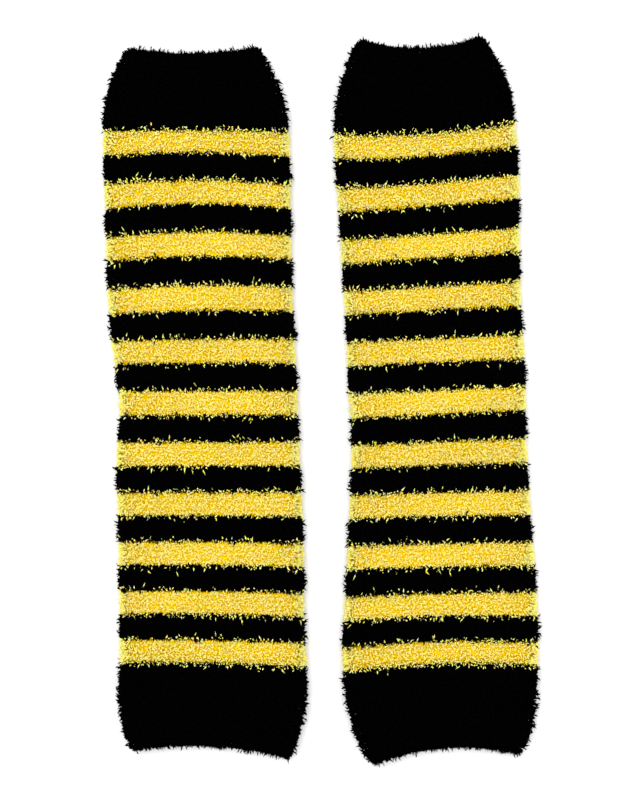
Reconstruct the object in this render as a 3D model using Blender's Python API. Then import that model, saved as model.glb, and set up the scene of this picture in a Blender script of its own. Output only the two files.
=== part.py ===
"""A pair of fuzzy-knit leg warmers with yellow and black stripes, laid flat side by side.

Each one is a flattened tube: a top cuff, a striped tube in an upper and a lower stretch, and a
bottom cuff. Metres, +Z up. The pair lies on Z = 0 with its top cuffs towards +Y.
"""

import math
from collections import namedtuple

import bmesh
import bpy

MM = 0.001

# The cloth: a knit with its pile lying on it, so a wall reaches as far as the pile does.
INNER_GAP = 0.5 * MM  # between the two layers of a flattened tube
SLIT_HEIGHT = 6.2 * MM  # of the middle of that gap, over the surface the pair lies on
MOUTH_GAP = 3.0 * MM  # the same gap where a mouth stands a little open
SEAM_GAP = 0.3 * MM  # between two pieces that meet
WELT_RADIUS = 3.2 * MM  # rounding of the rolled edge at a mouth
FOLD_RISE = 1.0 * MM  # how much higher the springy side folds lie than the middle

# Soft unevenness of the upper layer, as it settles on the lower one.
SETTLE_HEIGHT = 0.5 * MM
SETTLE_LENGTH = 83 * MM  # from one rise to the next, down the tube
SETTLE_SLANT = 1.7  # how far round a rise has turned at the side folds, in radians

# What the elastic does near a mouth.
GATHER_HEIGHT = 0.6 * MM
GATHERS_ACROSS = 5
GATHER_REACH = 34 * MM  # how far the gathers run into the cuff
FRONT_SET_BACK = 2.2 * MM  # how far the upper layer's edge stands back from the lower one's

# Stripes, counted down the tube: it starts and ends with a yellow one.
STRIPES = 11
STRIPE_HEIGHT = 14.2 * MM
LOWER_STRETCH = 4  # the yellow stripe that the tube's lower stretch starts with, from 0

# Steps of the mesh.
TOP_STEPS = 20  # across the upper layer
BOTTOM_STEPS = 8  # across the flat underside
FOLD_STEPS = 5  # round a side fold
CUFF_STEPS = 6  # down a cuff
WELT_STEPS = 5  # round the rolled edge at a mouth
INSIDE_STEP = 60 * MM  # down the plain inside of a tube

# One row per level of a leg warmer, in millimetres. down: below the top mouth's corners. sway:
# how far the row's middle lies to the right of the leg warmer's own line. width and thick: over
# the pile. tilt: how far the right fold lies above the row's middle line. arch: how far the
# row's middle lies above its two ends.
Level = namedtuple("Level", "down sway width thick tilt arch")
LEFT_LEVELS = (
    # down, sway, width, thick, tilt, arch
    (0.0, -7.2, 76.2, 12.6, 0.3, -2.9),
    (8.6, -7.0, 85.0, 13.4, 0.2, -2.6),
    (20.0, -6.5, 95.8, 13.4, 0.0, -1.8),
    (31.5, -5.9, 103.4, 13.0, -0.2, -0.5),
    (45.0, -5.5, 107.2, 12.6, -0.2, 1.0),
    (88.0, -4.3, 107.4, 12.2, 0.0, 2.9),
    (122.0, -3.5, 106.8, 12.4, 0.6, 2.8),
    (158.0, -2.0, 106.2, 12.2, 0.8, 1.1),
    (192.0, 0.9, 104.0, 12.4, 0.2, 0.6),
    (212.0, 2.2, 103.0, 12.5, 0.0, 0.0),
    (233.0, 1.7, 105.6, 12.2, 0.2, 0.0),
    (284.0, 3.3, 106.8, 12.4, -0.4, 0.4),
    (330.0, 4.0, 106.8, 12.2, -0.8, 0.8),
    (356.0, 4.5, 107.9, 12.6, -1.3, 0.8),
    (373.0, 4.2, 109.0, 13.0, -1.5, 1.6),
    (385.0, 3.8, 105.8, 13.3, -1.8, 2.8),
    (397.0, 3.3, 100.8, 13.4, -2.1, 3.6),
    (408.0, 3.3, 92.2, 12.6, -2.3, 4.0),
)
RIGHT_LEVELS = (
    # down, sway, width, thick, tilt, arch
    (0.0, -8.1, 71.6, 12.6, 0.9, -5.2),
    (8.3, -8.0, 81.4, 13.4, 1.2, -5.0),
    (17.0, -7.3, 88.8, 13.5, 1.6, -4.6),
    (25.5, -6.7, 96.0, 13.3, 2.0, -4.2),
    (37.0, -6.4, 101.7, 13.0, 2.6, -3.6),
    (52.0, -6.1, 104.6, 12.6, 3.1, -2.9),
    (70.0, -5.0, 105.5, 12.2, 3.7, -1.8),
    (94.0, -3.5, 104.4, 12.4, 4.0, -0.5),
    (121.0, -2.7, 102.8, 12.2, 3.6, 0.0),
    (163.0, -0.7, 101.6, 12.4, 2.4, 0.2),
    (198.0, 1.1, 102.2, 12.2, 2.2, 0.2),
    (232.0, 2.3, 100.6, 12.5, 2.0, 0.0),
    (258.0, 2.6, 103.2, 12.2, 1.2, 0.4),
    (292.0, 3.1, 106.8, 12.4, 1.0, 0.4),
    (318.0, 3.4, 110.2, 12.2, 1.2, 0.8),
    (347.0, 3.1, 113.0, 12.4, 1.5, 2.0),
    (370.0, 3.2, 112.0, 12.8, 1.7, 3.2),
    (387.0, 4.1, 107.6, 13.2, 2.2, 4.2),
    (401.5, 5.3, 101.0, 13.4, 2.7, 5.0),
    (416.6, 6.6, 86.2, 12.6, 3.0, 6.2),
)

# Where each one lies and how its stripes are spaced. line and top: its own line and its top
# corners, from the pair's middle. first_stripe: from the top corners down to the upper edge of
# the first yellow band. pitch: from one yellow band to the next, on average. pull: how much
# lower the middle bands lie than evenly spaced ones, as the upper half is pulled out longer.
LegWarmer = namedtuple("LegWarmer", "side levels line top first_stripe pitch pull")
LEG_WARMERS = (
    LegWarmer("left", LEFT_LEVELS, -66.3 * MM, 203.8 * MM, 49.6 * MM, 29.2 * MM, 2.7 * MM),
    LegWarmer("right", RIGHT_LEVELS, 65.7 * MM, 209.3 * MM, 53.3 * MM, 29.6 * MM, 2.1 * MM),
)

# A place on the section: across runs from -1 to 1 between the centres of the two side folds,
# and angle is the direction from the slit's edge to the outer face.
Spot = namedtuple("Spot", "across angle")

# A step along the wall's profile, which runs down the outer face, round an edge, back up the
# inner face and round the other edge. depth is 0 on the outer face and 1 on the inner one, and
# yellow says which yarn the faces up to the next step have.
Step = namedtuple("Step", "down depth yellow")

UP = math.pi / 2
DOWN = -math.pi / 2

YELLOW = ("yellow_yarn", (0.86, 0.62, 0.08), 0.9)
BLACK = ("black_yarn", (0.006, 0.006, 0.007), 0.95)


def clear_scene():
    for thing in list(bpy.data.objects):
        bpy.data.objects.remove(thing)


def yarn_material(piece, name, colour, roughness):
    """A piece's own copy of one yarn's material."""
    material = bpy.data.materials.new(f"{piece}_{name}")
    material.use_nodes = True
    shader = material.node_tree.nodes["Principled BSDF"]
    shader.inputs["Base Color"].default_value = (*colour, 1)
    shader.inputs["Roughness"].default_value = roughness
    shader.inputs["Metallic"].default_value = 0
    material.diffuse_color = (*colour, 1)
    return material


def levels_of(leg_warmer):
    return [Level(*(value * MM for value in row)) for row in leg_warmer.levels]


def level_at(levels, down):
    """The level at one distance down, on a smooth curve through the table's rows."""
    last = len(levels) - 1
    above = max(k for k in range(last) if k == 0 or levels[k].down <= down)
    before, start, end, after = (levels[min(max(above + k, 0), last)] for k in (-1, 0, 1, 2))
    span = end.down - start.down
    t = (down - start.down) / span
    values = []
    for p, q, r, s in zip(before, start, end, after):
        slope_q = (r - p) / (end.down - before.down) * span
        slope_r = (s - q) / (after.down - start.down) * span
        ends = (2 * t**3 - 3 * t**2 + 1) * q + (3 * t**2 - 2 * t**3) * r
        values.append(ends + (t**3 - 2 * t**2 + t) * slope_q + (t**3 - t**2) * slope_r)
    return Level(*values)._replace(down=down)


def spots_round_section():
    """The places of one ring: the underside, the left fold, the upper layer, the right fold."""
    underside = [Spot(1 - 2 * k / BOTTOM_STEPS, DOWN) for k in range(BOTTOM_STEPS + 1)]
    upper = [Spot(2 * k / TOP_STEPS - 1, UP) for k in range(TOP_STEPS + 1)]
    left = [Spot(-1, DOWN - math.pi * k / FOLD_STEPS) for k in range(1, FOLD_STEPS)]
    right = [Spot(1, UP - math.pi * k / FOLD_STEPS) for k in range(1, FOLD_STEPS)]
    return underside + left + upper + right


def nearness(distance, reach):
    """1 at a mouth, falling softly to 0 at its reach."""
    return max(0.0, 1 - distance / reach) ** 2


def height_at(level, across, near_mouth):
    """How high the upper layer lies at one place across the tube."""
    middle_weight = 1 - across**2
    phase = 2 * math.pi * level.down / SETTLE_LENGTH + SETTLE_SLANT * across
    settled = SETTLE_HEIGHT * math.cos(phase) * middle_weight
    gathered = GATHER_HEIGHT * math.cos(math.pi * GATHERS_ACROSS * across) * near_mouth
    return level.thick + FOLD_RISE * across**4 + settled + gathered * (1 - across**4)


def wall_point(leg_warmer, levels, step, spot):
    """One point of the wall, in world coordinates."""
    level = level_at(levels, step.down)
    length = levels[-1].down
    to_mouth = min(step.down, length - step.down)
    near_mouth = nearness(to_mouth, GATHER_REACH)
    gap = INNER_GAP + (MOUTH_GAP - INNER_GAP) * near_mouth
    height = height_at(level, spot.across, near_mouth)
    from_middle = height / 2 * (1 - step.depth) + gap / 2 * step.depth
    middle = height / 2 * (1 - step.depth) + SLIT_HEIGHT * step.depth
    fold_centre = level.width / 2 - (level.thick + FOLD_RISE) / 2
    sideways = spot.across * fold_centre + math.cos(spot.angle) * from_middle
    z = middle + math.sin(spot.angle) * from_middle
    share = sideways / (level.width / 2)
    y = leg_warmer.top - step.down + level.tilt * share + level.arch * (1 - share**2)
    towards_body = -1 if step.down < length / 2 else 1
    y += towards_body * FRONT_SET_BACK * near_mouth * (z / height) * (1 - share**2)
    return (leg_warmer.line + level.sway + sideways, y, z)


def even_steps(start, end, count):
    return [start + (end - start) * k / count for k in range(count + 1)]


def welt(mouth, outwards):
    """The rolled edge at a mouth, from the outer face round to the inner one."""
    steps = []
    for angle in even_steps(0, math.pi, WELT_STEPS):
        set_back = WELT_RADIUS * (1 - math.sin(angle))
        steps.append(Step(mouth - outwards * set_back, (1 - math.cos(angle)) / 2, False))
    return steps


def cuff_profile(seam, mouth):
    """The outer face from the seam to the welt, the welt, and the inner face back to the seam."""
    outwards = 1 if mouth > seam else -1
    welt_start = mouth - outwards * WELT_RADIUS
    outer = [Step(down, 0, False) for down in even_steps(seam, welt_start, CUFF_STEPS)]
    inner = [Step(down, 1, False) for down in even_steps(welt_start, seam, CUFF_STEPS // 2)]
    return outer[:-1] + welt(mouth, outwards) + inner[1:]


def upper_edge_of(leg_warmer, stripe):
    """How far down the upper edge of a yellow stripe lies, counted from 0."""
    share = stripe / (STRIPES - 1)
    pulled = 4 * leg_warmer.pull * share * (1 - share)
    return leg_warmer.first_stripe + stripe * leg_warmer.pitch + pulled


def tube_profile(leg_warmer, first, after):
    """A stretch of the tube, from its first yellow stripe down to the one after its last.

    The outer face has a step at each stripe's edge, and the inner face is plain.
    """
    outer = []
    for k in range(first, after):
        upper_edge = upper_edge_of(leg_warmer, k)
        outer.append(Step(upper_edge, 0, True))
        outer.append(Step(upper_edge + STRIPE_HEIGHT, 0, False))
    if after < STRIPES:
        outer.append(Step(upper_edge_of(leg_warmer, after), 0, False))
    outer[0] = outer[0]._replace(down=outer[0].down + SEAM_GAP / 2)
    outer[-1] = outer[-1]._replace(down=outer[-1].down - SEAM_GAP / 2)
    start, end = outer[-1].down, outer[0].down
    inside_steps = round((start - end) / INSIDE_STEP)
    return outer + [Step(down, 1, False) for down in even_steps(start, end, inside_steps)]


def build_piece(name, leg_warmer, profile, collection):
    """A closed wall: a ring at every step of its profile, joined to the next one all round."""
    levels = levels_of(leg_warmer)
    spots = spots_round_section()
    bm = bmesh.new()
    rings = []
    for step in profile:
        rings.append([bm.verts.new(wall_point(leg_warmer, levels, step, spot)) for spot in spots])
    for k, ring in enumerate(rings):
        next_ring = rings[(k + 1) % len(rings)]
        for n in range(len(spots)):
            m = (n + 1) % len(spots)
            face = bm.faces.new((ring[n], ring[m], next_ring[m], next_ring[n]))
            face.material_index = int(profile[k].yellow)
    bmesh.ops.recalc_face_normals(bm, faces=bm.faces)
    mesh = bpy.data.meshes.new(name)
    bm.to_mesh(mesh)
    bm.free()
    mesh.materials.append(yarn_material(name, *BLACK))
    if any(step.yellow for step in profile):
        mesh.materials.append(yarn_material(name, *YELLOW))
    mesh.shade_smooth()
    mesh.set_sharp_from_angle(angle=math.radians(50))
    collection.objects.link(bpy.data.objects.new(name, mesh))


def build_leg_warmer(leg_warmer, collection):
    length = leg_warmer.levels[-1][0] * MM
    top_seam = leg_warmer.first_stripe - SEAM_GAP / 2
    bottom_seam = upper_edge_of(leg_warmer, STRIPES - 1) + STRIPE_HEIGHT + SEAM_GAP / 2
    profiles = {
        "top_cuff": cuff_profile(top_seam, 0),
        "upper_tube": tube_profile(leg_warmer, 0, LOWER_STRETCH),
        "lower_tube": tube_profile(leg_warmer, LOWER_STRETCH, STRIPES),
        "bottom_cuff": cuff_profile(bottom_seam, length),
    }
    for piece, profile in profiles.items():
        build_piece(f"{leg_warmer.side}_{piece}", leg_warmer, profile, collection)


def main():
    clear_scene()
    collection = bpy.data.collections.new("leg_warmers")
    bpy.context.scene.collection.children.link(collection)
    for leg_warmer in LEG_WARMERS:
        build_leg_warmer(leg_warmer, collection)


main()
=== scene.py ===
"""The looks of a pair of fuzzy striped leg warmers that lie flat, built round their frame.

Each leg warmer is a thin knitted wall, in three pieces, that carries a deep pile of short soft
strands. The wall and the pile follow the form of the frame's solids, whose outer faces lie
where the tips of the pile reach. Metres, +Z up, top cuffs towards +Y.
"""

import math
from collections import namedtuple

import bpy
import numpy as np
from bpy.props import FloatProperty, FloatVectorProperty, IntProperty, PointerProperty
from bpy.types import Operator, Panel, PropertyGroup
from bpy.utils import register_class, unregister_class
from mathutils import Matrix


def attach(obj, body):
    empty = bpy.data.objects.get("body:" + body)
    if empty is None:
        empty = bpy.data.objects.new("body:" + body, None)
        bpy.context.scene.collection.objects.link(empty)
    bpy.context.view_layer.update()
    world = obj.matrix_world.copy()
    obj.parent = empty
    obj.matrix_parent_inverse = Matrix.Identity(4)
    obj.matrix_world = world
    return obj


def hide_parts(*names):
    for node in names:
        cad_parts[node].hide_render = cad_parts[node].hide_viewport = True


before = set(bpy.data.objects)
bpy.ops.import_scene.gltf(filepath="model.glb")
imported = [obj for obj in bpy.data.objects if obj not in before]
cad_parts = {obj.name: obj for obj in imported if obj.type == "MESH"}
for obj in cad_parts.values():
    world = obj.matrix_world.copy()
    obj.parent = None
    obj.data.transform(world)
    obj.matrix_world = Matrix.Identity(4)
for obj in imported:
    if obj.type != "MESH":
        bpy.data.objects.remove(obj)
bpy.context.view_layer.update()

bl_info = {
    "name": "Fuzzy Striped Leg Warmers",
    "version": (1, 0, 0),
    "blender": (4, 5, 0),
    "location": "View3D > Sidebar > Leg Warmers",
    "description": "Knits a pair of fuzzy striped leg warmers that lie flat, and lights them",
    "category": "Object",
}

ROOT = "root"
MM = 0.001

# The form, which the frame's solids share.
INNER_GAP = 0.5 * MM  # between the two layers of a flattened tube
SLIT_HEIGHT = 6.2 * MM  # of the middle of that gap, over the surface the pair lies on
MOUTH_GAP = 3.0 * MM  # the same gap where a mouth stands a little open
SEAM_GAP = 0.3 * MM  # between two pieces that are sewn together
WELT_RADIUS = 3.2 * MM  # rounding of the pile round the edge at a mouth
FOLD_RISE = 1.0 * MM  # how much higher the springy side folds lie than the middle
SETTLE_HEIGHT = 0.5 * MM  # soft unevenness of the upper layer
SETTLE_LENGTH = 83 * MM  # from one rise to the next, down the tube
SETTLE_SLANT = 1.7  # how far round a rise has turned at the side folds, in radians
GATHER_HEIGHT = 0.6 * MM  # gathers that the elastic makes in a cuff
GATHERS_ACROSS = 5
GATHER_REACH = 34 * MM  # how far the gathers run into the cuff
FRONT_SET_BACK = 2.2 * MM  # how far the upper layer's edge stands back from the lower one's
STRIPES = 11
STRIPE_HEIGHT = 14.2 * MM
WAVE_TURN = 2.4  # between the directions of an irregular wave's parts, in radians
WAVE_SHIFT = 1.7  # of a part's phase, for each radian that its direction is turned

# One row per level of a leg warmer, in millimetres. down: below the top mouth's corners. sway:
# how far the row's middle lies to the right of the leg warmer's own line. width and thick: over
# the pile. tilt: how far the right fold lies above the row's middle line. arch: how far the
# row's middle lies above its two ends.
Level = namedtuple("Level", "down sway width thick tilt arch")
LEFT_LEVELS = (
    # down, sway, width, thick, tilt, arch
    (0.0, -7.2, 76.2, 12.6, 0.3, -2.9),
    (8.6, -7.0, 85.0, 13.4, 0.2, -2.6),
    (20.0, -6.5, 95.8, 13.4, 0.0, -1.8),
    (31.5, -5.9, 103.4, 13.0, -0.2, -0.5),
    (45.0, -5.5, 107.2, 12.6, -0.2, 1.0),
    (88.0, -4.3, 107.4, 12.2, 0.0, 2.9),
    (122.0, -3.5, 106.8, 12.4, 0.6, 2.8),
    (158.0, -2.0, 106.2, 12.2, 0.8, 1.1),
    (192.0, 0.9, 104.0, 12.4, 0.2, 0.6),
    (212.0, 2.2, 103.0, 12.5, 0.0, 0.0),
    (233.0, 1.7, 105.6, 12.2, 0.2, 0.0),
    (284.0, 3.3, 106.8, 12.4, -0.4, 0.4),
    (330.0, 4.0, 106.8, 12.2, -0.8, 0.8),
    (356.0, 4.5, 107.9, 12.6, -1.3, 0.8),
    (373.0, 4.2, 109.0, 13.0, -1.5, 1.6),
    (385.0, 3.8, 105.8, 13.3, -1.8, 2.8),
    (397.0, 3.3, 100.8, 13.4, -2.1, 3.6),
    (408.0, 3.3, 92.2, 12.6, -2.3, 4.0),
)
RIGHT_LEVELS = (
    # down, sway, width, thick, tilt, arch
    (0.0, -8.1, 71.6, 12.6, 0.9, -5.2),
    (8.3, -8.0, 81.4, 13.4, 1.2, -5.0),
    (17.0, -7.3, 88.8, 13.5, 1.6, -4.6),
    (25.5, -6.7, 96.0, 13.3, 2.0, -4.2),
    (37.0, -6.4, 101.7, 13.0, 2.6, -3.6),
    (52.0, -6.1, 104.6, 12.6, 3.1, -2.9),
    (70.0, -5.0, 105.5, 12.2, 3.7, -1.8),
    (94.0, -3.5, 104.4, 12.4, 4.0, -0.5),
    (121.0, -2.7, 102.8, 12.2, 3.6, 0.0),
    (163.0, -0.7, 101.6, 12.4, 2.4, 0.2),
    (198.0, 1.1, 102.2, 12.2, 2.2, 0.2),
    (232.0, 2.3, 100.6, 12.5, 2.0, 0.0),
    (258.0, 2.6, 103.2, 12.2, 1.2, 0.4),
    (292.0, 3.1, 106.8, 12.4, 1.0, 0.4),
    (318.0, 3.4, 110.2, 12.2, 1.2, 0.8),
    (347.0, 3.1, 113.0, 12.4, 1.5, 2.0),
    (370.0, 3.2, 112.0, 12.8, 1.7, 3.2),
    (387.0, 4.1, 107.6, 13.2, 2.2, 4.2),
    (401.5, 5.3, 101.0, 13.4, 2.7, 5.0),
    (416.6, 6.6, 86.2, 12.6, 3.0, 6.2),
)

# Where each one lies and how its stripes are spaced. line and top: its own line and its top
# corners, from the pair's middle. first_stripe: from the top corners down to the upper edge of
# the first yellow band. pitch: from one yellow band to the next, on average. pull: how much
# lower the middle bands lie than evenly spaced ones, as the upper half is pulled out longer.
LegWarmer = namedtuple("LegWarmer", "side levels line top first_stripe pitch pull seed")
LEG_WARMERS = (
    LegWarmer("left", LEFT_LEVELS, -66.3 * MM, 203.8 * MM, 49.6 * MM, 29.2 * MM, 2.7 * MM, 11),
    LegWarmer("right", RIGHT_LEVELS, 65.7 * MM, 209.3 * MM, 53.3 * MM, 29.6 * MM, 2.1 * MM, 47),
)

DOWN = -math.pi / 2  # the direction from the middle of the two layers to the underside


# ---------------------------------------------------------------- the form


class Form:
    """One leg warmer's form: where any place of its wall or its pile lies."""

    def __init__(self, leg_warmer):
        self.row = leg_warmer
        self.table = np.array(leg_warmer.levels) * MM
        self.length = self.table[-1, 0]
        down = self.table[:, 0]
        after = np.minimum(np.arange(len(down)) + 1, len(down) - 1)
        before = np.maximum(np.arange(len(down)) - 1, 0)
        run = (down[after] - down[before])[:, None]
        self.slopes = (self.table[after] - self.table[before]) / run
        share = np.arange(STRIPES) / (STRIPES - 1)
        stripe = leg_warmer.first_stripe + np.arange(STRIPES) * leg_warmer.pitch
        stripe += 4 * leg_warmer.pull * share * (1 - share)
        self.yellow_bands = [(edge, edge + STRIPE_HEIGHT) for edge in stripe]
        ends = [lower for _, lower in self.yellow_bands]
        self.black_bands = list(zip(ends[:-1], stripe[1:]))
        self.top_seam = self.yellow_bands[0][0]
        self.bottom_seam = self.yellow_bands[-1][1]

    def level(self, down):
        """The level at each distance down, on a smooth curve through the table's rows."""
        places = self.table[:, 0]
        above = np.clip(np.searchsorted(places, down, "right") - 1, 0, len(places) - 2)
        span = places[above + 1] - places[above]
        t = ((down - places[above]) / span)[:, None]
        start, end = self.table[above], self.table[above + 1]
        slope_in = self.slopes[above] * span[:, None]
        slope_out = self.slopes[above + 1] * span[:, None]
        values = (2 * t**3 - 3 * t**2 + 1) * start + (3 * t**2 - 2 * t**3) * end
        values += (t**3 - 2 * t**2 + t) * slope_in + (t**3 - t**2) * slope_out
        return Level(*values.T)._replace(down=down)

    def point(self, down, across, angle, depth=None, lift=None):
        """Points of the section at each distance down.

        across runs from -1 to 1 between the centres of the side folds, and angle is the
        direction from the middle of the two layers. How far out a point lies is either a
        depth, 0 where the pile ends and 1 on the inner face, or a lift off the inner face.
        """
        level = self.level(down)
        to_mouth = np.minimum(down, self.length - down)
        near_mouth = np.clip(1 - to_mouth / GATHER_REACH, 0, None) ** 2
        gap = INNER_GAP + (MOUTH_GAP - INNER_GAP) * near_mouth
        phase = 2 * math.pi * level.down / SETTLE_LENGTH + SETTLE_SLANT * across
        settled = SETTLE_HEIGHT * np.cos(phase) * (1 - across**2)
        gathered = GATHER_HEIGHT * np.cos(math.pi * GATHERS_ACROSS * across) * near_mouth
        height = level.thick + FOLD_RISE * across**4 + settled + gathered * (1 - across**4)
        if depth is None:
            from_middle, middle = gap / 2 + lift, SLIT_HEIGHT
        else:
            from_middle = height / 2 * (1 - depth) + gap / 2 * depth
            middle = height / 2 * (1 - depth) + SLIT_HEIGHT * depth
        fold_centre = level.width / 2 - (level.thick + FOLD_RISE) / 2
        sideways = across * fold_centre + np.cos(angle) * from_middle
        z = middle + np.sin(angle) * from_middle
        share = sideways / (level.width / 2)
        y = self.row.top - down + level.tilt * share + level.arch * (1 - share**2)
        towards_body = np.where(down < self.length / 2, -1, 1)
        y += towards_body * FRONT_SET_BACK * near_mouth * (z / height) * (1 - share**2)
        return np.stack([self.row.line + level.sway + sideways, y, z], axis=1)

    def wave(self, round_place, down, lengths, phase):
        """A soft irregular wave between about -1 and 1 over the wall, with no repeat."""
        total = np.zeros(len(down))
        for k, length in enumerate(lengths):
            turn = self.row.seed + phase + WAVE_TURN * k
            direction = (math.cos(turn), math.sin(turn))
            along = round_place * direction[0] + down * direction[1]
            total += np.sin(2 * math.pi * along / length + WAVE_SHIFT * turn)
        return total / math.sqrt(len(lengths))


FORMS = {row.side: Form(row) for row in LEG_WARMERS}

# The outer section's mean size, for spreading strands evenly round it.
FOLD_RADIUS = 6.8 * MM
FLAT_WIDTH = 92 * MM
ROUND_OVER = 2 * math.pi * FOLD_RADIUS + FLAT_WIDTH


def over_places(share):
    """Places round the upper layer and both side folds, as across and angle."""
    fold = math.pi * FOLD_RADIUS / ROUND_OVER
    across = np.clip((share - fold) / (1 - 2 * fold) * 2 - 1, -1, 1)
    left = np.clip(share / fold, 0, 1)
    right = np.clip((share - 1 + fold) / fold, 0, 1)
    angle = DOWN - math.pi * left - math.pi * right + 2 * math.pi
    return across, angle


def under_places(share):
    """Places across the underside."""
    return share * 2 - 1, np.full(len(share), DOWN)


# ---------------------------------------------------------------- meshes


def mesh_of(name, points, corners, sizes, uv=None, values=None):
    """A mesh from arrays: points, the faces' corners in a row, and each face's corner count."""
    mesh = bpy.data.meshes.new(name)
    mesh.vertices.add(len(points))
    mesh.vertices.foreach_set("co", points.astype(np.float32).ravel())
    mesh.loops.add(len(corners))
    mesh.loops.foreach_set("vertex_index", corners.astype(np.int32))
    mesh.polygons.add(len(sizes))
    starts = np.concatenate([[0], np.cumsum(sizes)[:-1]])
    mesh.polygons.foreach_set("loop_start", starts.astype(np.int32))
    if uv is not None:
        layer = mesh.uv_layers.new(name="OFBake")
        layer.uv.foreach_set("vector", uv.astype(np.float32).ravel())
    for label, numbers in (values or {}).items():
        attribute = mesh.attributes.new(label, "FLOAT", "POINT")
        attribute.data.foreach_set("value", numbers.astype(np.float32))
    mesh.update(calc_edges=True)
    mesh.shade_smooth()
    return mesh


def add_piece(name, mesh, material, slot):
    mesh.materials.append(material)
    piece = bpy.data.objects.new(name, mesh)
    bpy.context.scene.collection.objects.link(piece)
    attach(piece, ROOT)
    return piece


# ---------------------------------------------------------------- strands of the pile


# A strand grows from a point at its root, is thickest at its shoulder and ends in a point at its
# tip. On its map it is a narrow upright strip, root below, that stands where its tone says.
STRAND_SIDES = 3
MAP_SHOULDER = 0.62  # how far up the strip the shoulder lies
MAP_MARGIN = 0.01  # left free at the left and the lower edge of the map
TONE_SPAN = 0.97  # of the map's width, over which the tones are spread
STRIP_HEIGHT = 0.98
SIDE_WIDTH = 1 / 512  # of each of a strand's sides on its strip
FLOOR_CLEARANCE = 0.1 * MM

# Steps that fill a square evenly: one over the plastic number, and one over its square.
EVEN_STEPS = (0.7548776662, 0.5698402910)
SEED_STEP = 0.137  # how far all places move from one seed to the next
SHAKE = 0.35  # of each place, as a share of the mean distance between two


def spread(count, seed):
    """Evenly spread pairs of numbers between 0 and 1, a little shaken."""
    k = np.arange(count)
    even = np.stack([k * step for step in EVEN_STEPS], axis=1) + seed * SEED_STEP
    shake = np.random.default_rng(seed).uniform(-SHAKE, SHAKE, (count, 2)) / math.sqrt(count)
    return (even + shake) % 1


def unit(vectors):
    return vectors / np.linalg.norm(vectors, axis=1, keepdims=True)


def strand_mesh(name, path, width, tone, rng):
    """Soft strands, each along its own root, shoulder and tip, as one mesh with its map."""
    root, shoulder, tip = path
    count = len(root)
    run = unit(tip - root)
    first = unit(np.cross(run, rng.normal(size=(count, 3))))
    second = np.cross(run, first)
    points = [root]
    for corner in range(STRAND_SIDES):
        turn = 2 * math.pi * corner / STRAND_SIDES
        offset = first * math.cos(turn) + second * math.sin(turn)
        points.append(shoulder + offset * (width / 2)[:, None])
    points = np.stack([*points, tip], axis=1)
    points[:, :, 2] = np.maximum(points[:, :, 2], FLOOR_CLEARANCE)
    each = points.shape[1]
    corners, map_u, map_v = strand_faces()
    corners = (corners[None, :] + np.arange(count)[:, None] * each).ravel()
    u = MAP_MARGIN + TONE_SPAN * tone[:, None] + map_u[None, :] * SIDE_WIDTH
    v = np.broadcast_to(MAP_MARGIN + STRIP_HEIGHT * map_v, u.shape)
    uv = np.stack([u, v], axis=2).reshape(-1, 2)
    sizes = np.full(len(corners) // 3, 3)
    return mesh_of(name, points.reshape(-1, 3), corners, sizes, uv)


def strand_faces():
    """One strand's three-cornered faces: their points' numbers and places on its map."""
    corners, map_u, map_v = [], [], []
    tip = 1 + STRAND_SIDES
    for k in range(STRAND_SIDES):
        here, following = 1 + k, 1 + (k + 1) % STRAND_SIDES
        corners += [0, following, here, here, following, tip]
        map_u += [k + 0.5, k + 1, k, k, k + 1, k + 0.5]
        map_v += [0, MAP_SHOULDER, MAP_SHOULDER, MAP_SHOULDER, MAP_SHOULDER, 1]
    return np.array(corners), np.array(map_u), np.array(map_v)


# ---------------------------------------------------------------- where the pile grows


LIP_ROUND = math.pi * 3 * MM  # the way round the edge at a mouth, from the outer to the inner face
COURSE_WOBBLE = 0.9 * MM  # how far a stripe's edge strays from a straight row of stitches
ROOT_SCATTER = 0.6 * MM  # how far single strands stray across it
ROOT_DEPTH = -0.08  # how far inside the knit a strand starts, as a share of the pile's depth
YELLOW_MARGIN = 0.6 * MM  # from a yellow band's edge to its outermost strands' roots
BLACK_MARGIN = 0.6 * MM
UPPER_EDGE_SHARE = 0.6  # of the strands along stripes' edges, those that point up
LEAN_UP = -math.pi / 2  # a strand's lean, as an angle from the way round the wall
LEAN_DOWN = math.pi / 2
COMBED = 2.2  # how far neighbours turn together, in radians
REACHES = (0.3, 1.1)  # of the shortest strand and the longest, as shares of their habit's reach
STRAY_REACH = 2.0  # how many times as far as the rest a stray strand reaches
CLUMP_RISE = 0.02  # how much neighbours rise or lie down together, as a share of the pile's depth
SHOULDER_PLACE = 0.5  # how far along a strand's reach its shoulder lies
SHOULDER_RISES = (0.6, 0.85)  # how high the lowest and the highest lie, as shares of the tip's rise
BEND = 0.2  # how far a shoulder strays from the straight way, as a share of the habit's reach
WIDTHS = (0.85, 1.15)  # of the thinnest strand and the thickest, as shares of their habit's width
MIDDLE_TONE = 0.5
TONE_SCATTER = 0.14  # of single strands
PATCH_TONE = 0.06  # that neighbours share

# The irregular waves that neighbours share: the lengths of each one's parts, and the phase that
# sets it apart from the rest.
COURSE_WAVE = (4 * MM, 7 * MM, 15 * MM), 0.0
COMB_WAVE = (31 * MM, 47 * MM), 5.0
CLUMP_WAVE = (4 * MM, 6.5 * MM), 8.0
PATCH_WAVE = (9 * MM, 23 * MM, 41 * MM), 2.0


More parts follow.
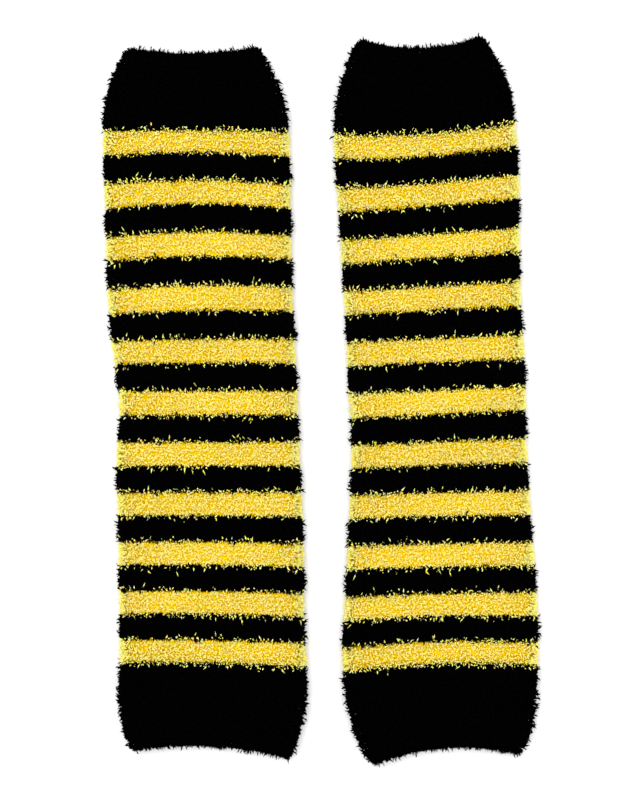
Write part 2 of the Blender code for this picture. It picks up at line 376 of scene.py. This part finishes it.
class Wall:
    """The outer face of the knitted wall, or its underside, as ground for the pile."""

    def __init__(self, form, knit, places):
        self.form, self.knit, self.places = form, knit, places

    def point(self, down, round_place, rise):
        """A point over the wall: on the knit where rise is 0, where the pile ends at 1."""
        across, angle = self.places(np.clip(round_place / ROUND_OVER, 0, 1))
        set_back = self.knit.edge_set_back
        on_knit = np.clip(down, set_back, self.form.length - set_back)
        low = self.form.point(on_knit, across, angle, lift=self.knit.thickness)
        high = self.form.point(down, across, angle, depth=0)
        return low + (high - low) * rise[:, None]


class Lip:
    """The edge at a mouth as ground for the pile, from the outer face round to the inner."""

    def __init__(self, form, knit, places, at_top):
        self.form, self.knit, self.places, self.at_top = form, knit, places, at_top

    def point(self, over_edge, round_place, rise):
        """over_edge runs from 0 on the outer face to LIP_ROUND on the inner one."""
        across, angle = self.places(np.clip(round_place / ROUND_OVER, 0, 1))
        turn = np.clip(over_edge / LIP_ROUND, 0, 1) * math.pi
        edge = np.full(len(turn), self.knit.edge_set_back)
        lip = WELT_RADIUS * (1 - np.sin(turn))
        if not self.at_top:
            edge, lip = self.form.length - edge, self.form.length - lip
        inwards = (1 - np.cos(turn)) / 2
        low = self.form.point(edge, across, angle, lift=self.knit.thickness * (1 - inwards))
        high = self.form.point(lip, across, angle, depth=inwards)
        return low + (high - low) * rise[:, None]


def band_places(bands, share):
    """Distances down that fill the bands evenly, for shares between 0 and 1."""
    edges = np.array(bands)
    heights = edges[:, 1] - edges[:, 0]
    ends = np.concatenate([[0], np.cumsum(heights)]) / heights.sum()
    band = np.clip(np.searchsorted(ends, share, "right") - 1, 0, len(bands) - 1)
    within = (share - ends[band]) / (ends[band + 1] - ends[band])
    return edges[band, 0] + within * heights[band]


def wall_roots(form, bands, count, seed):
    """Places down and round the wall, spread over the bands, and which way each strand leans."""
    shares = spread(count, seed)
    round_place = shares[:, 1] * ROUND_OVER
    down = band_places(bands, shares[:, 0])
    wobble = COURSE_WOBBLE * form.wave(round_place, down, *COURSE_WAVE)
    wobble += np.random.default_rng(seed).normal(0, ROOT_SCATTER, count)
    lean = COMBED * form.wave(round_place, down, *COMB_WAVE)
    return down + wobble, round_place, lean


def drawn_in(bands, margin):
    """Bands that keep clear of their neighbours by a margin at each edge."""
    return [(upper + margin, lower - margin) for upper, lower in bands]


def edge_roots(bands, count, seed):
    """Places along the bands' edges, where each strand leans out over the next band."""
    rng = np.random.default_rng(seed)
    band = rng.integers(0, len(bands), count)
    upper = rng.uniform(0, 1, count) < UPPER_EDGE_SHARE
    edges = np.array(bands)
    down = np.where(upper, edges[band, 0], edges[band, 1]) + rng.normal(0, ROOT_SCATTER, count)
    return down, rng.uniform(0, ROUND_OVER, count), np.where(upper, LEAN_UP, LEAN_DOWN)


def grow(ground, form, roots, habit, seed):
    """Strands' paths, widths and tones."""
    rng = np.random.default_rng(seed)
    down, round_place, lean = roots
    count = len(down)
    turn = lean + rng.uniform(-habit.unruly, habit.unruly, count)
    stray = rng.uniform(0, 1, count) < habit.strays
    reach = habit.reach * rng.uniform(*REACHES, count) * np.where(stray, STRAY_REACH, 1)
    low, high = habit.rise
    clump = CLUMP_RISE * form.wave(round_place, down, *CLUMP_WAVE)
    rise = rng.uniform(low, high, count) + clump
    rise += np.where(stray, rng.uniform(0, habit.stray_rise, count), 0)
    bend = habit.reach * rng.uniform(-BEND, BEND, (2, count))
    along, across = reach * np.sin(turn), reach * np.cos(turn)
    root = ground.point(down, round_place, np.full(count, ROOT_DEPTH))
    shoulder_down = down + along * SHOULDER_PLACE + bend[0]
    shoulder_round = round_place + across * SHOULDER_PLACE + bend[1]
    shoulder_rise = rise * rng.uniform(*SHOULDER_RISES, count)
    shoulder = ground.point(shoulder_down, shoulder_round, shoulder_rise)
    tip = ground.point(down + along, round_place + across, rise)
    width = habit.width * rng.uniform(*WIDTHS, count)
    patch = form.wave(round_place, down, *PATCH_WAVE)
    tone = MIDDLE_TONE + TONE_SCATTER * rng.standard_normal(count) + PATCH_TONE * patch
    tone = np.clip(tone, 0, 1)
    return (root, shoulder, tip), width, tone


# ---------------------------------------------------------------- materials


MIX_FIRST, MIX_SECOND, MIX_RESULT = 6, 7, 2  # a Mix node's sockets for colours, by number

KNIT_MARGIN = 0.7 * MM  # of black yarn that shows under the edges of the yellow pile
EDGE_GRAIN = 222.222222  # how many bumps a stripe's edge has to each side of its piece's own box
EDGE_STRAY = 6 * MM  # from the furthest bump that there could be to the deepest notch
STITCH_WIDTH = 3.2 * MM
STITCH_HEIGHT = 2.6 * MM
STITCH_DEPTH = 0.5 * MM
STITCH_STRENGTH = 0.8  # of the bump
GROOVE_DEPTH = 0.6  # between two wales, as a share of a loop's height
YELLOW_GROOVE_SHADE = 0.74  # painted shade: how bright the yarn is painted at the stitches' lowest places, as a share
# the same painted shade in the grooves, for the black yarn
BLACK_GROOVE_SHADE = 0.5
DARKEST_BLACK = (0.4, 1.0)  # how bright the darkest strands are at root and tip, as shares; the darker roots are painted shade
LIGHTEST_BLACK = (0.6, 1.6)


class Value:
    """A socket of a material's nodes, on which Python's operators add Math nodes."""

    def __init__(self, surface, socket):
        self.surface = surface
        self.socket = socket

    def maths(self, operation, *operands):
        sockets = dict(enumerate(operands))
        return self.surface.node("ShaderNodeMath", {"operation": operation}, sockets)

    def __add__(self, other):
        return self.maths("ADD", self, other)

    def __sub__(self, other):
        return self.maths("SUBTRACT", self, other)

    def __rsub__(self, other):
        return self.maths("SUBTRACT", other, self)

    def __mul__(self, other):
        return self.maths("MULTIPLY", self, other)

    def __truediv__(self, other):
        return self.maths("DIVIDE", self, other)

    def __lt__(self, other):
        return self.maths("LESS_THAN", self, other)

    def __gt__(self, other):
        return self.maths("GREATER_THAN", self, other)

    def __abs__(self):
        return self.maths("ABSOLUTE", self)

    def fraction(self):
        return self.maths("FRACT", self)

    def cosine(self):
        return self.maths("COSINE", self)

    __radd__ = __add__
    __rmul__ = __mul__


class Surface:
    """A material, built node by node round one Principled shader."""

    def __init__(self, name):
        self.material = bpy.data.materials.new(name)
        self.material.use_nodes = True
        self.tree = self.material.node_tree
        self.tree.nodes.clear()

    def node(self, kind, settings=None, sockets=None, output=0):
        """Adds a node: its settings first, then the values or links of its sockets."""
        made = self.tree.nodes.new(kind)
        for name, value in (settings or {}).items():
            setattr(made, name, value)
        for name, value in (sockets or {}).items():
            if isinstance(value, Value):
                self.tree.links.new(value.socket, made.inputs[name])
            else:
                made.inputs[name].default_value = value
        return Value(self, made.outputs[output]) if made.outputs else None

    def mixed(self, share, first, second):
        """A colour between two others."""
        sockets = {"Factor": share, MIX_FIRST: as_colour(first), MIX_SECOND: as_colour(second)}
        return self.node("ShaderNodeMix", {"data_type": "RGBA"}, sockets, MIX_RESULT)

    def finish(self, sockets):
        shader = self.node("ShaderNodeBsdfPrincipled", None, sockets)
        self.node("ShaderNodeOutputMaterial", None, {"Surface": shader})
        return self.material


def as_colour(value):
    return value if isinstance(value, Value) else (*value[:3], 1.0)


def strand_material(name, dark_strand, light_strand, sockets):
    """Strands from dark to light ones by tone, each with its own colours at root and tip: painted
    darker towards the root as shade and paler towards the tip as highlight.
    """
    surface = Surface(name)
    place = surface.node("ShaderNodeUVMap", {"uv_map": "OFBake"})
    split = {"Vector": place}
    tone = surface.node("ShaderNodeSeparateXYZ", None, split, "X")
    along = surface.node("ShaderNodeSeparateXYZ", None, split, "Y")
    # Painted light along each strand: painted shade at the root, painted highlight towards the tip.
    painted_light_along = along * along
    dark = surface.mixed(painted_light_along, *dark_strand)
    light = surface.mixed(painted_light_along, *light_strand)
    colour = surface.mixed(tone, dark, light)
    return surface.finish({"Base Color": colour, **sockets})


def knit_material(name, form, yellow, black):
    """Plain knit under the pile: rows of V stitches, with the stripes in the yarn, and painted shade
    that darkens the yarn where the stitches lie lowest.
    """
    surface = Surface(name)
    down = surface.node("ShaderNodeAttribute", {"attribute_name": "down"}, None, "Fac")
    round_place = surface.node("ShaderNodeAttribute", {"attribute_name": "round"}, None, "Fac")
    row = form.row
    share = (down - row.first_stripe) / (row.pitch * (STRIPES - 1))
    even = down - share * (1 - share) * (4 * row.pull)
    rough = surface.node("ShaderNodeTexNoise", None, {"Scale": EDGE_GRAIN, "Detail": 1.0}, "Fac")
    even = even + (rough - 0.5) * EDGE_STRAY
    below_edge = (even - (row.first_stripe + KNIT_MARGIN)) / row.pitch
    stripe = below_edge.fraction() < (STRIPE_HEIGHT - 2 * KNIT_MARGIN) / row.pitch
    on_tube = (down > row.first_stripe) * (down < form.bottom_seam)
    wale = (round_place / STITCH_WIDTH).fraction()
    course = (down / STITCH_HEIGHT + abs(wale - 0.5)).fraction()
    loop = 0.5 - 0.5 * (course * (2 * math.pi)).cosine()
    groove = 1 - 0.5 * (1 + (wale * (2 * math.pi)).cosine()) * GROOVE_DEPTH
    height = loop * groove
    # Painted shade: the yarn is painted darker in the grooves, where the stitches lie lowest.
    yellow_knit = surface.mixed(height, [part * YELLOW_GROOVE_SHADE for part in yellow], yellow)
    black_knit = surface.mixed(height, [part * BLACK_GROOVE_SHADE for part in black], black)
    colour = surface.mixed(stripe * on_tube, black_knit, yellow_knit)
    sockets = {"Height": height, "Strength": STITCH_STRENGTH, "Distance": STITCH_DEPTH}
    bump = surface.node("ShaderNodeBump", None, sockets)
    return surface.finish({"Base Color": colour, "Normal": bump, "Roughness": 0.85,
                           "Specular IOR Level": 0.0})


# ---------------------------------------------------------------- settings


class LegWarmerYarn(PropertyGroup):
    knit_thickness: FloatProperty(
        name="Knit Thickness", description="Thickness of the knitted wall without its pile",
        default=2.6 * MM, min=0.5 * MM, max=4 * MM, precision=4, unit="LENGTH")
    strand_width: FloatProperty(
        name="Strand Width", description="How thick a strand of the pile is at its shoulder",
        default=0.74 * MM, min=0.2 * MM, max=3 * MM, precision=4, unit="LENGTH")
    strand_reach: FloatProperty(
        name="Strand Reach", description="How far a strand lies over along the wall",
        default=1.7 * MM, min=1 * MM, max=12 * MM, precision=4, unit="LENGTH")
    yellow_strands: IntProperty(
        name="Yellow Strands", description="On the upper side of one leg warmer's yellow bands",
        default=26000, min=100, max=31000)
    black_strands: IntProperty(
        name="Black Strands", description="On the upper side of one leg warmer's black bands",
        default=24000, min=100, max=31500)
    cuff_strands: IntProperty(
        name="Cuff Strands", description="On the upper side of one cuff",
        default=6000, min=100, max=30000)
    under_strands: IntProperty(
        name="Underside Strands", description="Of each colour under one leg warmer's tube",
        default=2200, min=100, max=30000)
    edge_strands: IntProperty(
        name="Edge Strands", description="Along the edges of one leg warmer's yellow bands",
        default=1150, min=0, max=2000)
    mouth_strands: IntProperty(
        name="Mouth Strands", description="Over the edge of each layer at a cuff's mouth",
        default=900, min=50, max=1500)


class LegWarmerColours(PropertyGroup):
    # Painted shade: the strands' roots, deep in the pile, are painted this darker yellow; it is also
    # the knit's yellow under the pile.
    yellow_deep: FloatVectorProperty(
        name="Deep Yellow", description="Yellow yarn at the roots of the darkest strands",
        default=(0.93, 0.61, 0.0), size=3, min=0, max=1, subtype="COLOR")
    yellow_middle: FloatVectorProperty(
        name="Middle Yellow", description="At the darkest strands' tips and the palest ones' roots",
        default=(0.935, 0.77, 0.04), size=3, min=0, max=1, subtype="COLOR")
    # Painted highlight: the palest strands' tips are painted this near-white yellow.
    yellow_pale: FloatVectorProperty(
        name="Pale Yellow", description="Yellow yarn at the tips of the palest strands",
        default=(0.93, 0.81, 0.62), size=3, min=0, max=1, subtype="COLOR")
    black: FloatVectorProperty(
        name="Black", description="Black yarn",
        default=(0.0008, 0.0008, 0.001), size=3, min=0, max=1, subtype="COLOR")
    floor: FloatVectorProperty(
        name="Floor", description="The pale floor that the pair lies on",
        default=(0.68, 0.68, 0.68), size=3, min=0, max=1, subtype="COLOR")


Knit = namedtuple("Knit", "thickness edge_set_back")
EDGE_SET_BACK = 3.4 * MM  # of the knit's edge at a mouth from where the pile ends


def knit_of(yarn):
    """The wall's measures."""
    return Knit(yarn.knit_thickness, EDGE_SET_BACK)


# ---------------------------------------------------------------- the pile's pieces


# How each kind of strand grows. width and reach: how thick it is and how far its tip lies along
# the wall from its root, here as shares of the yarn's own. rise: its tips' lowest and highest
# place, as shares of the pile's depth. unruly: how far its leans spread to either side, in
# radians. strays: the share of strands that reach further than the rest. stray_rise: how much
# higher those may rise.
Habit = namedtuple("Habit", "width reach rise unruly strays stray_rise")
HABITS = {
    # width, reach, rise, unruly, strays, stray_rise
    "yellow": Habit(1.0, 1.0, (0.82, 1.1), 2.8, 0.08, 0.45),
    "black": Habit(1.7, 1.0, (0.82, 1.1), 2.8, 0.14, 0.65),
    "edge": Habit(1.4, 1.4, (0.9, 1.2), 0.9, 0.12, 0.2),
    "lip": Habit(1.2, 0.8, (0.8, 1.15), math.pi, 0.12, 0.9),
    "under": Habit(1.3, 1.0, (0.5, 1.0), 2.8, 0, 0),
}
BLACK_SEED = 100  # added to a leg warmer's own seed for its black bands
CUFF_SEED = 200  # and for its top cuff
CUFF_SEED_STEP = 20  # from the top cuff to the bottom one
CUFF_SHARE = 1 / 3  # a cuff's underside, as a share of one colour's under the tube


def habit_of(kind, yarn):
    """A kind's habit, with its width and reach in metres."""
    habit = HABITS[kind]
    width, reach = yarn.strand_width * habit.width, yarn.strand_reach * habit.reach
    return habit._replace(width=width, reach=reach)


def add_pile(name, batches, look, seed):
    """One piece of pile, from one or more batches of ground, roots and habit."""
    rng = np.random.default_rng(seed)
    grown = [grow(ground, ground.form, roots, habit, seed + k)
             for k, (ground, roots, habit) in enumerate(batches)]
    path = [np.concatenate([each[0][k] for each in grown]) for k in range(3)]
    width = np.concatenate([each[1] for each in grown])
    tone = np.concatenate([each[2] for each in grown])
    return add_piece(name, strand_mesh(name, path, width, tone, rng), *look)


def yellow_yarn(colours):
    deep, middle, pale = colours.yellow_deep, colours.yellow_middle, colours.yellow_pale
    material = strand_material(
        "yellow_yarn", (deep, middle), (middle, pale),
        {"Roughness": 0.6, "Specular IOR Level": 0.0, "Subsurface Weight": 0.85,
         "Subsurface Radius": (1.0, 0.6, 0.05), "Subsurface Scale": 1.05 * MM})
    return material, "yellow_yarn"


def black_yarn(colours):
    black = np.array(colours.black)
    material = strand_material(
        "black_yarn", [black * share for share in DARKEST_BLACK],
        [black * share for share in LIGHTEST_BLACK], {"Roughness": 0.7, "Specular IOR Level": 0.0})
    return material, "black_yarn"


class LEGWARMERS_OT_yellow_pile(Operator):
    """Grows the pile of the yellow bands on both leg warmers"""

    bl_idname = "leg_warmers.yellow_pile"
    bl_label = "Yellow Pile"

    def execute(self, context):
        yarn = context.scene.leg_warmer_yarn
        look = yellow_yarn(context.scene.leg_warmer_colours)
        for side, form in FORMS.items():
            seed = form.row.seed
            ground = Wall(form, knit_of(yarn), over_places)
            bands = drawn_in(form.yellow_bands, YELLOW_MARGIN)
            roots = wall_roots(form, bands, yarn.yellow_strands, seed)
            edges = edge_roots(form.yellow_bands, yarn.edge_strands, seed)
            over = [(ground, roots, habit_of("yellow", yarn)), (ground, edges, habit_of("edge", yarn))]
            add_pile(f"{side}_yellow_pile", over, look, seed + 1)
            add_underpile(f"{side}_yellow_underpile", form, form.yellow_bands, look, yarn, seed + 2)
        return {"FINISHED"}


class LEGWARMERS_OT_black_pile(Operator):
    """Grows the pile of the black bands on both leg warmers"""

    bl_idname = "leg_warmers.black_pile"
    bl_label = "Black Pile"

    def execute(self, context):
        yarn = context.scene.leg_warmer_yarn
        look = black_yarn(context.scene.leg_warmer_colours)
        for side, form in FORMS.items():
            seed = form.row.seed + BLACK_SEED
            ground = Wall(form, knit_of(yarn), over_places)
            bands = drawn_in(form.black_bands, BLACK_MARGIN)
            roots = wall_roots(form, bands, yarn.black_strands, seed)
            over = [(ground, roots, habit_of("black", yarn))]
            add_pile(f"{side}_black_pile", over, look, seed + 1)
            add_underpile(f"{side}_black_underpile", form, form.black_bands, look, yarn, seed + 2)
        return {"FINISHED"}


def add_underpile(name, form, bands, look, yarn, seed, share=1.0):
    """The pile under a piece, which is pressed flat on what the pair lies on."""
    roots = wall_roots(form, bands, round(yarn.under_strands * share), seed)
    under = (Wall(form, knit_of(yarn), under_places), roots, habit_of("under", yarn))
    add_pile(name, [under], look, seed + 1)


class LEGWARMERS_OT_cuff_pile(Operator):
    """Grows the pile of all four black cuffs, and round the edges at their mouths"""

    bl_idname = "leg_warmers.cuff_pile"
    bl_label = "Cuff Pile"

    def execute(self, context):
        yarn = context.scene.leg_warmer_yarn
        look = black_yarn(context.scene.leg_warmer_colours)
        knit = knit_of(yarn)
        for side, form in FORMS.items():
            cuffs = {
                "top": (WELT_RADIUS, form.top_seam),
                "bottom": (form.bottom_seam, form.length - WELT_RADIUS),
            }
            for k, (end, band) in enumerate(cuffs.items()):
                seed = form.row.seed + CUFF_SEED + CUFF_SEED_STEP * k
                roots = wall_roots(form, [band], yarn.cuff_strands, seed)
                over = (Wall(form, knit, over_places), roots, habit_of("black", yarn))
                lips = [lip_batch(form, knit, places, end == "top", yarn, seed + 1)
                        for places in (over_places, under_places)]
                add_pile(f"{side}_{end}_cuff_pile", [over, *lips], look, seed + 2)
                add_underpile(f"{side}_{end}_cuff_underpile", form, [band], look, yarn,
                              seed + 5, CUFF_SHARE)
        return {"FINISHED"}


def lip_batch(form, knit, places, at_top, yarn, seed):
    """Strands over the edge at a mouth, for one layer of the flattened tube."""
    shares = spread(yarn.mouth_strands, seed)
    ground = Lip(form, knit, places, at_top)
    roots = (shares[:, 0] * LIP_ROUND, shares[:, 1] * ROUND_OVER, 0.0)
    return ground, roots, habit_of("lip", yarn)


# ---------------------------------------------------------------- the knitted walls


ROUND_STEPS_OVER = 44  # round the upper layer and both side folds
ROUND_STEPS_UNDER = 12  # across the underside
WALL_STEP = 7 * MM  # down the outer face; the inner face has steps twice as long
EDGE_STEPS = 4  # round the rolled edge at a mouth
WIDTH_SAMPLES = 20


def wall_profile(start, end, mouth_at, knit):
    """Distances down and lifts off the inner face, round the wall of one piece."""
    radius = knit.thickness / 2
    if mouth_at == "start":
        start += knit.edge_set_back + radius
    if mouth_at == "end":
        end -= knit.edge_set_back + radius
    count = max(2, round((end - start) / WALL_STEP))
    rows = [(down, knit.thickness) for down in np.linspace(start, end, count + 1)]
    back = [(down, 0.0) for down in np.linspace(end, start, count // 2 + 1)]
    turns = [math.pi * k / EDGE_STEPS for k in range(1, EDGE_STEPS)]
    if mouth_at == "end":
        rows += [(end + radius * math.sin(t), radius * (1 + math.cos(t))) for t in turns]
    if mouth_at == "start":
        back += [(start - radius * math.sin(t), radius * (1 - math.cos(t))) for t in turns]
    return rows + back


def wall_mesh(name, form, profile):
    """A closed thin wall: a ring at every step of its profile, joined all round."""
    over_share = np.linspace(0, 1, ROUND_STEPS_OVER + 1)
    under_share = np.linspace(1, 0, ROUND_STEPS_UNDER + 1)[1:-1]
    across = np.concatenate([over_places(over_share)[0], under_places(under_share)[0]])
    angle = np.concatenate([over_places(over_share)[1], under_places(under_share)[1]])
    under_place = ROUND_OVER + FLAT_WIDTH * (1 - under_share)
    round_place = np.concatenate([over_share * ROUND_OVER, under_place])
    ring_size, rings = len(across), len(profile)
    points, downs = [], []
    for down, lift in profile:
        level = np.full(ring_size, down)
        points.append(form.point(level, across, angle, lift=lift))
        downs.append(level)
    corners = []
    for k in range(rings):
        for n in range(ring_size):
            m = (n + 1) % ring_size
            here, there = k * ring_size, (k + 1) % rings * ring_size
            corners += [here + n, there + n, there + m, here + m]
    values = {"down": np.concatenate(downs), "round": np.tile(round_place, rings)}
    sizes = np.full(rings * ring_size, 4)
    return mesh_of(name, np.concatenate(points), np.array(corners), sizes, values=values)


class LEGWARMERS_OT_knit(Operator):
    """Knits the thin walls of both leg warmers, which carry the pile"""

    bl_idname = "leg_warmers.knit"
    bl_label = "Knitted Walls"

    def execute(self, context):
        yarn = context.scene.leg_warmer_yarn
        colours = context.scene.leg_warmer_colours
        knit = knit_of(yarn)
        for side, form in FORMS.items():
            material = knit_material(f"{side}_knit", form, colours.yellow_deep, colours.black)
            top_edge = form.top_seam - SEAM_GAP / 2
            bottom_edge = form.bottom_seam + SEAM_GAP / 2
            top = wall_profile(0, top_edge, "start", knit)
            tube = wall_profile(top_edge + SEAM_GAP, bottom_edge - SEAM_GAP, None, knit)
            bottom = wall_profile(bottom_edge, form.length, "end", knit)
            for cuff, profile in (("top_cuff", top), ("bottom_cuff", bottom)):
                add_wall(form, cuff, profile, (material, "black_yarn"), (cuff,))
            add_wall(form, "striped_tube", tube, (material, "yellow_yarn"),
                     ("upper_tube", "lower_tube"))
        return {"FINISHED"}


def add_wall(form, piece, profile, look, nodes):
    """One knitted wall, which stands for its nodes and carries its piles."""
    side = form.row.side
    name = f"{side}_{piece}_knit"
    wall = add_piece(name, wall_mesh(name, form, profile), *look)
    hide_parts(*[f"{side}_{node}" for node in nodes])
    downs = [down for down, _ in profile]
    levels = form.level(np.linspace(min(downs), max(downs), WIDTH_SAMPLES))
    max(downs) - min(downs)


# ---------------------------------------------------------------- the stage


PHOTO_HEIGHT = 800  # pixels
PIXEL = 0.574 * MM  # at the pair's mid height
LENS = 100.0  # millimetres
SENSOR = 36.0  # millimetres, along the picture's longer side
MID_HEIGHT = 8 * MM
VIEW_MIDDLE = (-0.3 * MM, 0.4 * MM)
FLOOR_SIZE = 6.0
LAMP_HEIGHT = 2.4
WORLD_STRENGTH = 1.13

# The square soft lamps. place and size: in metres. power: in watts.
Lamp = namedtuple("Lamp", "name place size power")
LAMPS = (
    Lamp("key", (-0.55, 0.65, LAMP_HEIGHT), 1.6, 51),
    Lamp("fill", (0.9, -0.5, LAMP_HEIGHT), 1.8, 25),
)


class LEGWARMERS_OT_stage(Operator):
    """Sets the pale floor, the soft studio light and the camera above the pair"""

    bl_idname = "leg_warmers.stage"
    bl_label = "Stage"

    def execute(self, context):
        scene = context.scene
        colours = scene.leg_warmer_colours
        bpy.ops.mesh.primitive_plane_add(size=FLOOR_SIZE)
        floor = context.object
        floor.name = "floor"
        surface = Surface("floor")
        floor.data.materials.append(surface.finish({
            "Base Color": as_colour(tuple(colours.floor)), "Roughness": 0.9,
            "Specular IOR Level": 0.1}))
        for lamp in LAMPS:
            add_softbox(*lamp)
        scene.world = scene.world or bpy.data.worlds.new("world")
        scene.world.use_nodes = True
        background = scene.world.node_tree.nodes["Background"]
        background.inputs["Color"].default_value = (1, 1, 1, 1)
        background.inputs["Strength"].default_value = WORLD_STRENGTH
        scene.view_settings.view_transform = "Standard"
        camera = bpy.data.cameras.new("camera")
        camera.lens = LENS
        camera.sensor_width = SENSOR
        eye = bpy.data.objects.new("camera", camera)
        distance = PHOTO_HEIGHT * PIXEL * LENS / SENSOR
        eye.location = (*VIEW_MIDDLE, MID_HEIGHT + distance)
        scene.collection.objects.link(eye)
        scene.camera = eye
        return {"FINISHED"}


def add_softbox(name, place, size, power):
    """A square soft light that faces the pair."""
    light = bpy.data.lights.new(name, "AREA")
    light.size = size
    light.energy = power
    lamp = bpy.data.objects.new(name, light)
    lamp.location = place
    lamp.rotation_euler = (-lamp.location).to_track_quat("-Z", "Y").to_euler()
    bpy.context.scene.collection.objects.link(lamp)


# ---------------------------------------------------------------- the panel


STEPS = (
    LEGWARMERS_OT_yellow_pile,
    LEGWARMERS_OT_black_pile,
    LEGWARMERS_OT_cuff_pile,
    LEGWARMERS_OT_knit,
    LEGWARMERS_OT_stage,
)


class LEGWARMERS_PT_sidebar(Panel):
    """Lists the leg warmers' measures, colours and pieces"""

    bl_idname = "LEGWARMERS_PT_sidebar"
    bl_label = "Leg Warmers"
    bl_space_type = "VIEW_3D"
    bl_region_type = "UI"
    bl_category = "Leg Warmers"

    def draw(self, context):
        column = self.layout.column()
        for group in (context.scene.leg_warmer_yarn, context.scene.leg_warmer_colours):
            for name in group.__annotations__:
                column.prop(group, name)
        for step in STEPS:
            column.operator(step.bl_idname)


CLASSES = (LegWarmerYarn, LegWarmerColours, *STEPS, LEGWARMERS_PT_sidebar)


def register():
    for each in CLASSES:
        register_class(each)
    bpy.types.Scene.leg_warmer_yarn = PointerProperty(type=LegWarmerYarn)
    bpy.types.Scene.leg_warmer_colours = PointerProperty(type=LegWarmerColours)


def unregister():
    del bpy.types.Scene.leg_warmer_colours
    del bpy.types.Scene.leg_warmer_yarn
    for each in reversed(CLASSES):
        unregister_class(each)


def main():
    register()
    bpy.ops.leg_warmers.yellow_pile()
    bpy.ops.leg_warmers.black_pile()
    bpy.ops.leg_warmers.cuff_pile()
    bpy.ops.leg_warmers.knit()
    bpy.ops.leg_warmers.stage()


if __name__ == "__main__":
    main()
